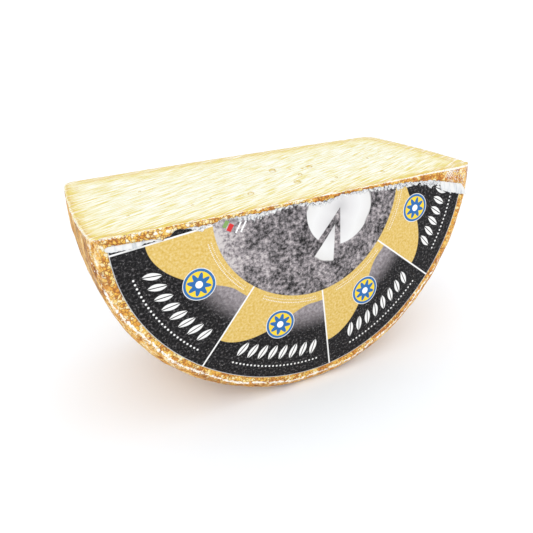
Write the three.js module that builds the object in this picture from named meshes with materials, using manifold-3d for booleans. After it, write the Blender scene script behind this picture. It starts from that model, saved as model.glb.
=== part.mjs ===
// Half of a wheel of semi-hard sheep's milk cheese, standing on its round rind with the cut face up.
// Millimetres. +X runs along the cut, -Y is the labelled face, +Z is up, and the origin is on the floor
// at the middle of the small flat spot that the rind stands on.
import * as THREE from "three";
import { mergeVertices } from "three/addons/utils/BufferGeometryUtils.js";
import Module from "manifold-3d";

const wasm = await Module();
wasm.setup();

// The wheel
const WHEEL_RADIUS = 115;
const HALF_THICKNESS = 53.1; // from the middle of the rim to a face, at the face's edge
const FACE_DOME = 2.4; // how far each face swells at its middle
const FACE_WEDGE = 0.0175; // each face comes in by this share of X, so the wheel is thinner on the right
const EDGE_ROUNDING = 5.5; // radius between a face and the rim
const RIM_BULGE = 2.2; // how far the rim swells between its two edges
const RIM_TAPER = 0.023; // the rim's radius grows by this share of the way to the labelled side
const OUT_OF_ROUND = [
  // lobes round the wheel, then the cosine and the sine height of each in millimetres
  [2, -3.2, 1.2],
  [3, -0.6, -1.9],
  [4, 1.1, 0.5],
];
const RIND_RELIEF = 0.35; // height of the rind's shallow lumps
const LUMP_SIZE = 9; // length of one lump

// The cut, and the spot that the half wheel stands on
const CENTRE_HEIGHT = 116.4; // the wheel's middle above the floor
const CUT_BELOW_CENTRE = 0.5; // the knife went just below the middle
const CUT_SIZE = 400; // side of the block that keeps the lower half

// The eyes of the paste that the knife opened: x, y and length
const EYES = [
  [6.4, 3.9, 5.4],
  [21.6, -4.4, 5.8],
  [29.5, 0, 4.2],
  [3.4, -5, 3.4],
  [6.2, -25.1, 5],
  [-22.8, -30.2, 4.2],
  [-74.8, 8.2, 4.6],
  [-57.2, -31.4, 3.4],
  [-89.3, -30.2, 2.6],
  [63.1, -35, 3],
  [79.8, -36, 3.2],
];
const EYE_WIDTH = 0.55; // of its length
const EYE_DEPTH = 0.3; // of its length

// The paper label
const LABEL_RADIUS = 105;
const LABEL_ABOVE_CENTRE = 1.2;
const PAPER = 0.4;
const GLUE_GAP = 0.3; // between the rind and the back of the paper
const JAG = 0.35; // height of the torn edge's small teeth
const TORN_EDGE = [
  // x, then how far below the cut the paper was torn off
  [-107, 4.2],
  [-84, 4.8],
  [-79.5, 6.3],
  [-72.5, 2.4],
  [-55.7, 3.2],
  [-50.3, 1.9],
  [-29.6, 2.3],
  [-9, 1.5],
  [3, 2.8],
  [9, 3],
  [18, 1.6],
  [36, 1.7],
  [60, 2.6],
  [81, 4.8],
  [92, 8],
  [102, 10.6],
];

// The torn paper that is turned over onto the front of the label: its ends in x, its reach down the
// label at each end, how far it stands off, and how far its free edge leans to the right
const LEFT_FOLD = { from: -105.5, to: -81, reach: [2.6, 2.2], lift: 0.8, lean: 0 };
const RIGHT_FOLD = { from: 82, to: 103, reach: [2.8, 7.2], lift: 1.2, lean: 4.6 };
const FOLD_ROOT = 0.6; // how far below the torn edge a fold starts

const wheelAngle = (x, z) => Math.atan2(z, x);

// The wheel's radius at an angle round it and a place across it, as a share of a true circle's.
function roundness(angle, y) {
  let share = 1 - (RIM_TAPER * y) / WHEEL_RADIUS;
  for (const [lobes, cosine, sine] of OUT_OF_ROUND) {
    share += (cosine * Math.cos(lobes * angle) + sine * Math.sin(lobes * angle)) / WHEEL_RADIUS;
  }
  return share;
}

const domeAt = (radius) => FACE_DOME * (1 - (radius / (WHEEL_RADIUS - EDGE_ROUNDING)) ** 2);

// How far a face stands in from where the wedge would leave it at x = 0; it fades out across the wheel.
const wedgeAt = (x, y) => (-FACE_WEDGE * x * y) / HALF_THICKNESS;

// The labelled face's y under a point of the front view.
function frontFace(x, z) {
  const share = roundness(wheelAngle(x, z), -HALF_THICKNESS);
  const radius = Math.hypot(x, z) / share;
  const y = -HALF_THICKNESS - domeAt(radius);
  return y + wedgeAt(x, y);
}

// Shallow, unevenly placed lumps, from -1 to 1.
function lumps(x, y, z) {
  const s = 1 / LUMP_SIZE;
  const drift = Math.sin(0.31 * s * x + 1.7) + Math.sin(0.43 * s * z - 0.6);
  const across = Math.sin(2.1 * s * y + 1.9 * drift);
  const along = Math.sin(2.7 * s * x + 1.3 * drift + 0.4) + Math.sin(2.3 * s * z - 1.1 * drift);
  return 0.5 * across * along;
}

// One side of the wheel, from the axis at the labelled face round the rim to the axis at the back.
function wheelProfile() {
  const points = [];
  const faceRadius = WHEEL_RADIUS - RIM_BULGE - EDGE_ROUNDING;
  const rings = 6;
  const cornerSteps = 4;
  const rimSteps = 8;
  const halfRim = HALF_THICKNESS - EDGE_ROUNDING;
  for (let i = 0; i < rings; i++) {
    const radius = faceRadius * (i / rings) ** 0.8;
    points.push(new THREE.Vector2(radius, -HALF_THICKNESS - domeAt(radius)));
  }
  for (let i = 0; i <= cornerSteps; i++) {
    const turn = (Math.PI / 2) * (i / cornerSteps);
    const out = EDGE_ROUNDING * Math.sin(turn);
    points.push(new THREE.Vector2(faceRadius + out, -halfRim - EDGE_ROUNDING * Math.cos(turn)));
  }
  for (let i = 1; i < rimSteps / 2; i++) {
    const y = halfRim * ((2 * i) / rimSteps - 1);
    points.push(new THREE.Vector2(WHEEL_RADIUS - RIM_BULGE * (y / halfRim) ** 2, y));
  }
  const front = points.map((p) => new THREE.Vector2(p.x, -p.y)).reverse();
  return [...points, new THREE.Vector2(WHEEL_RADIUS, 0), ...front];
}

function positionsOnly(geometry) {
  geometry.deleteAttribute("normal");
  geometry.deleteAttribute("uv");
  return mergeVertices(geometry, 1e-3);
}

function toSolid(geometry) {
  const merged = positionsOnly(geometry);
  const vertProperties = new Float32Array(merged.attributes.position.array);
  const triVerts = new Uint32Array(merged.index.array);
  return new wasm.Manifold(new wasm.Mesh({ numProp: 3, vertProperties, triVerts }));
}

function toGeometry(solid) {
  const { vertProperties, triVerts } = solid.getMesh();
  const geometry = new THREE.BufferGeometry();
  geometry.setAttribute("position", new THREE.BufferAttribute(vertProperties, 3));
  geometry.setIndex(new THREE.BufferAttribute(triVerts, 1));
  geometry.computeVertexNormals();
  return geometry;
}

// The whole wheel: the turned profile, pushed out of round and wedged, with the rim's lumps.
function wheelGeometry() {
  const geometry = positionsOnly(new THREE.LatheGeometry(wheelProfile(), 128));
  const position = geometry.attributes.position;
  for (let i = 0; i < position.count; i++) {
    const radius = Math.hypot(position.getX(i), position.getZ(i));
    const y = position.getY(i);
    const angle = wheelAngle(position.getX(i), position.getZ(i));
    const bare = THREE.MathUtils.smoothstep(radius, LABEL_RADIUS, LABEL_RADIUS + EDGE_ROUNDING);
    const x = radius * Math.cos(angle);
    const z = radius * Math.sin(angle);
    const out = radius * roundness(angle, y) + bare * RIND_RELIEF * lumps(x, y, z);
    position.setXYZ(i, out * Math.cos(angle), y + wedgeAt(x, y), out * Math.sin(angle));
  }
  return geometry;
}

// The block that holds everything below the knife's cut and above the floor.
function lowerHalfBlock() {
  const height = CENTRE_HEIGHT - CUT_BELOW_CENTRE;
  const block = new THREE.BoxGeometry(CUT_SIZE, CUT_SIZE, height);
  block.translate(0, 0, -CUT_BELOW_CENTRE - height / 2);
  return block;
}

function eyeGeometry([x, y, length], index) {
  const eye = new THREE.SphereGeometry(0.5, 10, 6);
  eye.scale(length, EYE_WIDTH * length, 2 * EYE_DEPTH * length);
  eye.rotateZ(0.4 * Math.sin(3 * index));
  eye.translate(x, y, -CUT_BELOW_CENTRE);
  return eye;
}

function cheeseGeometry() {
  let cheese = toSolid(wheelGeometry()).intersect(toSolid(lowerHalfBlock()));
  EYES.forEach((eye, index) => {
    cheese = cheese.subtract(toSolid(eyeGeometry(eye, index)));
  });
  return toGeometry(cheese);
}

// The height at which the label was torn off, running straight between the named points.
function tornLine(x) {
  const next = TORN_EDGE.findIndex(([px]) => px > x);
  const last = TORN_EDGE.length - 1;
  const i = next < 0 ? last : Math.max(next, 1);
  const [xa, dropA] = TORN_EDGE[i - 1];
  const [xb, dropB] = TORN_EDGE[i];
  return -CUT_BELOW_CENTRE - THREE.MathUtils.mapLinear(x, xa, xb, dropA, dropB);
}

const teeth = (x) => JAG * Math.sin(1.3 * x) * Math.cos(0.47 * x + 1);

// A thin sheet: a grid of front points and back points, with the same triangles on both sides.
function sheetGeometry(columns, rows, frontPoint, backPoint) {
  const vertices = [];
  const index = [];
  const layer = (columns + 1) * (rows + 1);
  for (const pointAt of [frontPoint, backPoint]) {
    for (let i = 0; i <= columns; i++) {
      for (let j = 0; j <= rows; j++) {
        vertices.push(...pointAt(i / columns, j / rows));
      }
    }
  }
  const at = (i, j) => i * (rows + 1) + j;
  const quad = (a, b, c, d) => index.push(a, b, c, a, c, d);
  for (let i = 0; i < columns; i++) {
    for (let j = 0; j < rows; j++) {
      const corners = [at(i, j), at(i, j + 1), at(i + 1, j + 1), at(i + 1, j)];
      quad(...corners);
      quad(...corners.map((corner) => corner + layer).reverse());
    }
  }
  const wall = (a, b) => quad(b, a, a + layer, b + layer);
  for (let i = 0; i < columns; i++) {
    wall(at(i + 1, 0), at(i, 0));
    wall(at(i, rows), at(i + 1, rows));
  }
  for (let j = 0; j < rows; j++) {
    wall(at(0, j), at(0, j + 1));
    wall(at(columns, j + 1), at(columns, j));
  }
  const geometry = new THREE.BufferGeometry();
  geometry.setAttribute("position", new THREE.Float32BufferAttribute(vertices, 3));
  geometry.setIndex(index);
  return geometry;
}

// The label's round edge at an angle; it keeps an even margin to the wheel's own uneven edge.
function labelRim(angle) {
  const radius = LABEL_RADIUS * roundness(angle, -HALF_THICKNESS);
  return [radius * Math.cos(angle), LABEL_ABOVE_CENTRE + radius * Math.sin(angle)];
}

// The angle at which the round edge meets the torn one, searched from one end of the cut.
function endAngle(from, step) {
  let angle = from;
  while (labelRim(angle)[1] > tornLine(labelRim(angle)[0]) - 1) {
    angle += step;
  }
  return angle;
}

// The paper as it lies on the face, from the torn edge down to the round edge.
function labelSheet() {
  const left = endAngle(-Math.PI, 0.004);
  const right = endAngle(0, -0.004);
  const columns = 104;
  const rows = 5;
  const pointAt = (standOff) => (u, v) => {
    const [x, low] = labelRim(left + u * (right - left));
    const z = THREE.MathUtils.lerp(tornLine(x) + teeth(x), low, v);
    return [x, frontFace(x, z) - standOff, z];
  };
  return sheetGeometry(columns, rows, pointAt(GLUE_GAP + PAPER), pointAt(GLUE_GAP));
}

// A strip of paper that is folded over the torn edge and stands a little off the label's front.
function foldSheet({ from, to, reach, lift, lean }) {
  const rows = 4;
  const columns = Math.round((to - from) / 2.4);
  const pointAt = (thickness) => (u, v) => {
    const along = THREE.MathUtils.lerp(from, to, u);
    const x = along + lean * u * v;
    const z = tornLine(along) - FOLD_ROOT - v * THREE.MathUtils.lerp(...reach, u);
    const curl = 1 - 0.4 * Math.cos(2 * Math.PI * u);
    const rise = lift * curl * Math.sin(0.8 * Math.PI * v);
    return [x, frontFace(x, z) - GLUE_GAP - PAPER / 2 - rise - thickness, z];
  };
  return sheetGeometry(columns, rows, pointAt(PAPER), pointAt(0));
}

function labelGeometry() {
  const folds = [LEFT_FOLD, RIGHT_FOLD].map((fold) => toSolid(foldSheet(fold)));
  const label = folds.reduce((whole, fold) => whole.add(fold), toSolid(labelSheet()));
  return toGeometry(label);
}

function rindMaterial() {
  return new THREE.MeshStandardMaterial({ color: 0xd2a05c, roughness: 0.75, metalness: 0 });
}

function printedPaper() {
  return new THREE.MeshStandardMaterial({ color: 0x2b2a2c, roughness: 0.45, metalness: 0 });
}

function namedMesh(name, geometry, material) {
  const mesh = new THREE.Mesh(geometry, material);
  mesh.name = name;
  return mesh;
}

const wheel = new THREE.Group();
wheel.position.z = CENTRE_HEIGHT;
wheel.add(namedMesh("cheese", cheeseGeometry(), rindMaterial()));
wheel.add(namedMesh("label", labelGeometry(), printedPaper()));

const halfWheel = new THREE.Group();
halfWheel.add(wheel);

export default halfWheel;
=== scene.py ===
import math

import bmesh
import bpy
import numpy as np
from mathutils import Matrix, Quaternion, Vector, noise


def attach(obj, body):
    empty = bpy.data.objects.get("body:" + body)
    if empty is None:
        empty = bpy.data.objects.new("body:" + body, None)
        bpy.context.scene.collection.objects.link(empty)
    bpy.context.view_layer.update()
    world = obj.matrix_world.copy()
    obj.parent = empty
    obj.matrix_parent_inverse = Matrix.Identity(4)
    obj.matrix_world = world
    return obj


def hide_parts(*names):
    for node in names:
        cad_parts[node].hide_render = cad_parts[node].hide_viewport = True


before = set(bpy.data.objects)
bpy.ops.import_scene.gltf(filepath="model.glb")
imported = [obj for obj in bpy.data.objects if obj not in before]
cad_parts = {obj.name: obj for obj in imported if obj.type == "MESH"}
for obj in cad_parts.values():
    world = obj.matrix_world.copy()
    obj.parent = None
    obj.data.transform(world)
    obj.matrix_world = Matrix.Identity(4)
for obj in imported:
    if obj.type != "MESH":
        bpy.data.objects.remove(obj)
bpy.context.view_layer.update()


# --------------------------------------------------
# The half wheel. Real piece: half of a pressed, salted and ripened wheel of sheep's milk cheese, set up
# on its round rind. Material: pale paste inside a dry, brushed golden-brown rind; one knife cut made it.
# --------------------------------------------------
MM = 0.001
WHEEL_RADIUS = 115.0
HALF_THICKNESS = 53.1
FACE_DOME = 2.4  # how far each face swells at its middle
FACE_WEDGE = 0.0175  # each face comes in by this share of x, so the wheel is thinner on the right
EDGE_ROUNDING = 5.5
RIM_BULGE = 2.2
RIM_TAPER = 0.023  # the rim's radius grows by this share of the way to the labelled side
OUT_OF_ROUND = ((2, -3.2, 1.2), (3, -0.6, -1.9), (4, 1.1, 0.5))  # lobes, cosine and sine height
CENTRE_HEIGHT = 116.4  # the wheel's middle above the floor; other heights are measured from it
CUT_BELOW_CENTRE = 0.5
COLUMNS = 384  # faces round the rind, from one end of the cut to the other
FACE_RADIUS = WHEEL_RADIUS - RIM_BULGE - EDGE_ROUNDING
HALF_RIM = HALF_THICKNESS - EDGE_ROUNDING
LABEL_RADIUS = 105.0
TORN_EDGE = (  # x, then how far below the cut the label was torn off
    (-107, 4.2), (-84, 4.8), (-79.5, 6.3), (-72.5, 2.4), (-55.7, 3.2), (-50.3, 1.9), (-29.6, 2.3), (-9, 1.5),
    (3, 2.8), (9, 3.0), (18, 1.6), (36, 1.7), (60, 2.6), (81, 4.8), (92, 8.0), (102, 10.6), (110, 12.7),
)
EYE_TURN = math.radians(-24)
EYES = (  # x, y, width and length
    (6.6, 5.0, 4.0, 8.0), (29.4, 0.2, 3.7, 6.0), (7.5, -25.5, 3.9, 6.4), (-23.4, -30.6, 3.2, 5.7),
    (16.2, -12.6, 2.3, 4.6), (23.7, -1.2, 1.5, 3.0), (16.5, 1.2, 1.3, 2.4), (58.5, -34.8, 2.5, 3.5),
    (30.0, -30.5, 1.7, 3.0), (23.6, -36.5, 1.7, 3.0), (69.3, -3.8, 1.4, 2.8), (-74.3, 8.9, 1.5, 2.8),
    (-56.7, -32.0, 1.4, 2.4), (-44.9, -26.4, 1.2, 2.2), (-89.3, -30.1, 1.3, 2.4),
)


def smoothstep(low, high, value):
    share = np.clip((value - low) / (high - low), 0.0, 1.0)
    return share * share * (3.0 - 2.0 * share)


def roundness(angle, y):
    """The wheel's radius at an angle and a place across it, as a share of a true circle's."""
    share = 1.0 - RIM_TAPER * y / WHEEL_RADIUS
    for lobes, cosine, sine in OUT_OF_ROUND:
        share = share + (cosine * np.cos(lobes * angle) + sine * np.sin(lobes * angle)) / WHEEL_RADIUS
    return share


def dome_at(radius):
    return FACE_DOME * (1.0 - (radius / (WHEEL_RADIUS - EDGE_ROUNDING)) ** 2)


def front_face(x, z):
    """The labelled face's y under a point of the front view, in millimetres from the wheel's middle."""
    radius = np.hypot(x, z) / roundness(np.arctan2(z, x), -HALF_THICKNESS)
    y = -HALF_THICKNESS - dome_at(radius)
    return y - FACE_WEDGE * x * y / HALF_THICKNESS


def torn_line(x):
    """The height at which the label was torn off, without its small teeth."""
    places, drops = zip(*TORN_EDGE)
    return -CUT_BELOW_CENTRE - np.interp(x, places, drops)


def grain(places, size, seed=0.0):
    """Smooth noise from -1 to 1 at each place, with lumps of the given size."""
    shift = Vector((seed, 2.3 * seed, -1.7 * seed))
    return np.array([noise.noise(Vector(p) / size + shift) for p in places])


def pebbles(places, size):
    """0 in the grooves between cells of the given size, up to 1 on their tops."""
    gap = np.array([np.diff(noise.voronoi(Vector(p) / size)[0][:2])[0] for p in places])
    return smoothstep(0.0, 0.4, gap)


def wheel_profile():
    """Radius and y of each ring, from near the middle of the labelled face round to near the back's."""
    innermost, finer_from = 2.2, 92.0
    inner = np.linspace(innermost, finer_from, 40)
    outer = np.linspace(finer_from, FACE_RADIUS, 15)[1:]
    face = np.concatenate([inner, outer])
    turn = np.linspace(0.0, math.pi / 2, 13)[1:]
    corner_r = FACE_RADIUS + EDGE_ROUNDING * np.sin(turn)
    corner_y = -HALF_RIM - EDGE_ROUNDING * np.cos(turn)
    rim_y = np.linspace(-HALF_RIM, HALF_RIM, 78)[1:-1]
    rim_r = WHEEL_RADIUS - RIM_BULGE * (rim_y / HALF_RIM) ** 2
    radius = np.concatenate([face, corner_r, rim_r, corner_r[::-1], face[::-1]])
    face_y = -HALF_THICKNESS - dome_at(face)
    y = np.concatenate([face_y, corner_y, rim_y, -corner_y[::-1], -face_y[::-1]])
    return radius, y, len(face)


def past_face(radius, y):
    """How far round the front corner a place on the rind is, in millimetres from the flat face's edge."""
    corner = EDGE_ROUNDING * np.arctan2(radius - FACE_RADIUS, -(y + HALF_RIM))
    rim = EDGE_ROUNDING * math.pi / 2 + y + HALF_RIM
    return np.where(radius < FACE_RADIUS, radius - FACE_RADIUS, np.where(y < -HALF_RIM, corner, rim))


def salt_ridge(places, radius, y):
    """From 0 to 1, how much of the dry white ridge along the front corner is at each place. It swings out
    on to the rim near the left end of the cut."""
    angle = np.degrees(np.arctan2(places[:, 2], places[:, 0]))
    middle = 0.5 + 3.3 * smoothstep(-153.0, -168.0, angle) + 0.5 * np.sin(0.31 * angle)
    return np.where(y < 0, np.exp(-((past_face(radius, y) - middle) ** 2)), 0.0)


def rind_relief(places, radius, y):
    """How far the rind stands out at each place, in millimetres: nothing under the label."""
    x, z = places[:, 0], places[:, 2]
    on_face = y < -HALF_THICKNESS + EDGE_ROUNDING * 0.6
    margin = smoothstep(LABEL_RADIUS - 0.5, LABEL_RADIUS + 2.5, radius)
    strip = smoothstep(-0.2, 0.8, z - torn_line(x))
    bare = np.where(on_face, np.maximum(margin, strip), 1.0)
    rim = smoothstep(FACE_RADIUS - 1.0, FACE_RADIUS + EDGE_ROUNDING, radius)
    around = np.arctan2(z, x) * WHEEL_RADIUS
    along = np.stack([around / 9.0, y * 1.15, 0.0 * y], 1)
    lumps = 0.32 * grain(places, 13.0) + 0.2 * grain(places, 5.5, 3.0)
    cells = 0.36 * pebbles(places, 2.7) - 0.18
    streaks = 0.24 * grain(along, 2.4, 7.0) + 0.22 * grain(along * 0.5, 2.4, 9.0)
    crust = 0.6 * salt_ridge(places, radius, y) * np.clip(0.45 + grain(places, 1.9, 5.0), 0.0, 1.0)
    return bare * (lumps + (1.0 - 0.8 * rim) * cells + rim * streaks + crust)


def wheel_grid():
    """The rind as rings of points from the left end of the cut round below to the right end."""
    radius, y, face_rings = wheel_profile()
    sweep = np.linspace(-math.pi, 0.0, COLUMNS + 1)
    ring_r = radius[:, None] * np.ones_like(sweep)
    ring_y = y[:, None] * np.ones_like(sweep)
    angle = sweep[None, :] * np.ones_like(ring_r)
    for _ in range(3):
        true = ring_r * roundness(angle, ring_y)
        reach = CUT_BELOW_CENTRE * np.sin(sweep) + np.sqrt(true**2 - (CUT_BELOW_CENTRE * np.cos(sweep)) ** 2)
        x = reach * np.cos(sweep)
        z = reach * np.sin(sweep) - CUT_BELOW_CENTRE
        angle = np.arctan2(z, x)
    grid = np.stack([x, ring_y - FACE_WEDGE * x * ring_y / HALF_THICKNESS, z], 2)
    across, round_ = np.gradient(grid, axis=0), np.gradient(grid, axis=1)
    normal = np.cross(across, round_)
    normal /= np.linalg.norm(normal, axis=2, keepdims=True)
    normal *= np.sign(normal[len(y) // 2, COLUMNS // 2, 2]) * -1.0
    relief = rind_relief(grid.reshape(-1, 3), ring_r.ravel(), ring_y.ravel()).reshape(ring_r.shape)
    moved = grid + normal * relief[:, :, None]
    crumble = 0.22 + 0.2 * grain(moved[:, [0, -1]].reshape(-1, 3), 1.9, 11.0).reshape(len(y), 2)
    moved[:, [0, -1], 2] = -CUT_BELOW_CENTRE - np.clip(crumble, 0.0, 1.0)
    moved[:, 1:-1, 2] = np.minimum(moved[:, 1:-1, 2], -CUT_BELOW_CENTRE - 0.3)
    moved[:, :, 2] = np.maximum(moved[:, :, 2], -CENTRE_HEIGHT)
    return moved, face_rings


def grid_faces(at):
    """The four-sided faces between the points of a grid, from the grid of their numbers."""
    rows, columns = at.shape
    return [(at[i, j], at[i, j + 1], at[i + 1, j + 1], at[i + 1, j])
            for i in range(rows - 1) for j in range(columns - 1)]


def half_wheel_mesh():
    """One closed mesh: the rind's rings, and the cut face as a grid between their ends."""
    grid, face_rings = wheel_grid()
    rings = len(grid)
    edge_z = -CUT_BELOW_CENTRE - 0.15
    points = [*grid.reshape(-1, 3)]
    front_pole = len(points)
    points.append(np.array([0.0, grid[0, :, 1].mean(), edge_z]))
    points.append(np.array([0.0, grid[-1, :, 1].mean(), edge_z]))
    at = np.arange(grid[:, :, 0].size).reshape(grid.shape[:2])
    faces = grid_faces(at)
    for pole, ring in ((front_pole, 0), (front_pole + 1, rings - 1)):
        faces += [(pole, at[ring, j], at[ring, j + 1]) for j in range(COLUMNS)]
    rind_faces = len(faces)
    rows = [[*at[face_rings - 1::-1, 0], front_pole, *at[:face_rings, -1]]]
    back = [*at[rings - face_rings:, 0], front_pole + 1, *at[:rings - face_rings - 1:-1, -1]]
    front_edge = np.array([points[i] for i in rows[0]])
    back_edge = np.array([points[i] for i in back])
    middle = range(face_rings, rings - face_rings)
    span = np.linspace(0.0, 1.0, len(back))
    for step, ring in enumerate(middle, 1):
        t = step / (len(middle) + 1)
        left, right = grid[ring, 0], grid[ring, -1]
        bowed = (1 - t) * front_edge + t * back_edge
        row = bowed + np.outer(1 - span, left - bowed[0]) + np.outer(span, right - bowed[-1])
        row[:, 2] = -CUT_BELOW_CENTRE
        first = len(points)
        points += [*row[1:-1]]
        rows.append([at[ring, 0], *range(first, len(points)), at[ring, -1]])
    rows.append(back)
    faces += grid_faces(np.array(rows))
    return np.array(points), faces, rind_faces, grid, face_rings


def new_object(name, data):
    """An object that carries this mesh, lamp or camera, in the scene."""
    made = bpy.data.objects.new(name, data)
    bpy.context.scene.collection.objects.link(made)
    return made


def mesh_object(name, points, faces, materials=()):
    """A piece with its place in its mesh: points in millimetres from the wheel's middle."""
    mesh = bpy.data.meshes.new(name)
    placed = (np.asarray(points) + (0.0, 0.0, CENTRE_HEIGHT)) * MM
    mesh.from_pydata(placed.tolist(), [], [tuple(int(i) for i in f) for f in faces])
    made = new_object(name, mesh)
    for material in materials:
        mesh.materials.append(material)
    shape = bmesh.new()
    shape.from_mesh(mesh)
    bmesh.ops.recalc_face_normals(shape, faces=shape.faces)
    shape.to_mesh(mesh)
    shape.free()
    return made


def wheel_places(made):
    """Where each vertex of a piece is, in millimetres from the wheel's middle."""
    flat = np.empty(3 * len(made.data.vertices))
    made.data.vertices.foreach_get("co", flat)
    return flat.reshape(-1, 3) / MM - (0.0, 0.0, CENTRE_HEIGHT)


def paint(hex_colour):
    """An sRGB hex colour as the linear numbers that a shader takes."""
    channels = [int(hex_colour[i:i + 2], 16) / 255 for i in (1, 3, 5)]
    linear = [c / 12.92 if c <= 0.04045 else ((c + 0.055) / 1.055) ** 2.4 for c in channels]
    return (*linear, 1.0)


def add(tree, kind, inputs=(), out=0, stops=(), **settings):
    """Adds a node with its settings and links, and returns one of the outputs that these leave in use.
    The type of a shading node is given without its first word, ShaderNode."""
    node = tree.nodes.new(kind if "Node" in kind else "ShaderNode" + kind)
    for name, value in settings.items():
        setattr(node, name, value)
    for socket, value in dict(inputs).items():
        if isinstance(value, bpy.types.NodeSocket):
            tree.links.new(value, node.inputs[socket])
        else:
            node.inputs[socket].default_value = value
    for index, (position, colour) in enumerate(stops):
        elements = node.color_ramp.elements
        stop = elements[index] if index < 2 else elements.new(position)
        stop.position, stop.color = position, paint(colour)
    in_use = [output for output in node.outputs if output.enabled]
    return in_use[out] if in_use else node


def new_material(name):
    """A material with an empty tree, and its tree."""
    material = bpy.data.materials.new(name)
    material.use_nodes = True
    material.node_tree.nodes.clear()
    return material, material.node_tree


def millimetres(tree):
    """Where a point of the piece is, in millimetres, so that a pattern's scale is one over its size."""
    place = add(tree, "TexCoord", out=3)
    return add(tree, "Mapping", {"Vector": place, "Scale": (1 / MM,) * 3})


def brushed_rind():
    """Dry washed rind, salted and brushed while it ripened: golden brown with cream cells and dark seams
    on the flat margin, more toasted to the right, streaked round the rim where hoop and brush ran, and
    white where salt dried on it."""
    material, tree = new_material("brushed_cheese_rind")
    flat = millimetres(tree)
    cell_width, dust_grain = 1.6, 0.9
    strand = add(tree, "Attribute", out=1, attribute_name="strand")
    around, past_corner, rim_share = add(tree, "SeparateXYZ", {0: strand}).node.outputs

    wobble = add(tree, "TexNoise", {"Vector": flat, "Scale": 1 / 2.6, "Detail": 3.0}, out=1)
    bent = add(tree, "VectorMath", {0: wobble, 1: (2.2, 2.2, 2.2), 2: flat}, operation="MULTIPLY_ADD")
    seam = add(tree, "TexVoronoi", {"Vector": bent, "Scale": 1 / cell_width}, feature="DISTANCE_TO_EDGE")
    cell = add(tree, "TexVoronoi", {"Vector": bent, "Scale": 1 / cell_width}, out=1)
    cell_value = add(tree, "SeparateXYZ", {0: cell})
    gaps = add(tree, "TexNoise", {"Vector": flat, "Scale": 1 / 4.5, "Detail": 3.0, "Roughness": 0.6})
    cloud = add(tree, "MapRange", {0: gaps, 1: 0.34, 2: 0.66, 4: 0.45})
    toasted = add(tree, "MapRange", {0: around, 1: -345.0, 2: -60.0, 4: 0.24})
    toasted_cloud = add(tree, "Math", {0: cloud, 1: toasted}, operation="SUBTRACT")
    mottle = add(tree, "Math", {0: cell_value, 1: 0.58, 2: toasted_cloud}, operation="MULTIPLY_ADD")
    cell_tone = add(tree, "ValToRGB", {0: mottle}, stops=(
        (0.08, "#C27C2C"), (0.95, "#F5F0E4"), (0.28, "#D99C3C"), (0.44, "#E3B54E"), (0.58, "#E8C872"),
        (0.74, "#EBDCAC")))
    seam_reach = add(tree, "MapRange", {0: gaps, 1: 0.35, 2: 0.62, 3: 0.24, 4: 0.03})
    seam_place = add(tree, "Math", {0: seam, 1: seam_reach}, operation="DIVIDE")
    seam_dark = add(tree, "MapRange", {0: seam_place, 1: 0.25, 2: 1.0, 3: 0.9, 4: 0.0})
    outlined = add(tree, "Mix", {0: seam_dark, 6: cell_tone, 7: paint("#925620")}, data_type="RGBA")
    broad = add(tree, "TexNoise", {"Vector": flat, "Scale": 1 / 24, "Detail": 6.0, "Roughness": 0.66})
    golden = add(tree, "ValToRGB", {0: broad}, stops=(
        (0.3, "#BC7E34"), (0.72, "#F0E6CA"), (0.43, "#D39F48"), (0.54, "#DFB968"), (0.63, "#E8CF96")))
    plain = add(tree, "TexNoise", {"Vector": flat, "Scale": 1 / 11, "Detail": 3.0})
    off_label = add(tree, "Attribute", out=2, attribute_name="open_rind")
    plain_room = add(tree, "MapRange", {0: plain, 1: 0.38, 2: 0.58, 3: 0.45, 4: 0.92})
    plain_mix = add(tree, "Math", {0: plain_room, 1: off_label}, operation="MULTIPLY")
    cells = add(tree, "Mix", {0: plain_mix, 6: outlined, 7: golden}, data_type="RGBA")

    bow = add(tree, "VectorMath", {0: wobble, 1: (5.0, 1.6, 0.0), 2: strand}, operation="MULTIPLY_ADD")
    long_run = add(tree, "VectorMath", {0: bow, 1: (1 / 20, 1 / 10, 0.0)}, operation="MULTIPLY")
    short_run = add(tree, "VectorMath", {0: bow, 1: (1 / 5.2, 1 / 1.4, 0.0)}, operation="MULTIPLY")
    wide = add(tree, "TexNoise", {"Vector": long_run, "Scale": 1.0, "Detail": 3.0, "Roughness": 0.6})
    fine = add(tree, "TexNoise", {"Vector": short_run, "Scale": 1.0, "Detail": 4.0, "Roughness": 0.62})
    both = add(tree, "Math", {0: wide, 1: fine}, operation="ADD")
    strength = add(tree, "MapRange", {0: past_corner, 1: 20.0, 2: 60.0, 3: 0.66, 4: 0.36})
    swing = add(tree, "Math", {0: both, 1: 1.0}, operation="SUBTRACT")
    streak = add(tree, "Math", {0: swing, 1: strength, 2: 0.5}, operation="MULTIPLY_ADD")
    streaks = add(tree, "ValToRGB", {0: streak}, stops=(
        (0.385, "#6E3E18"), (0.7, "#F7F4EC"), (0.455, "#9F6226"), (0.49, "#BF7F36"), (0.52, "#D29A46"),
        (0.555, "#DDB263"), (0.62, "#E9D4A6")))
    scraped = add(tree, "TexNoise", {"Vector": flat, "Scale": 1 / 5, "Detail": 4.0, "Roughness": 0.65})
    scraping = add(tree, "MapRange", {0: scraped, 1: 0.36, 2: 0.56, 3: 0.35, 4: 0.95})
    on_rim = add(tree, "MapRange", {0: rim_share, 1: 0.2, 2: 0.75})
    rim_mix = add(tree, "Math", {0: scraping, 1: on_rim}, operation="MULTIPLY")
    warm = add(tree, "Mix", {0: rim_mix, 6: cells, 7: streaks}, data_type="RGBA")

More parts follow.
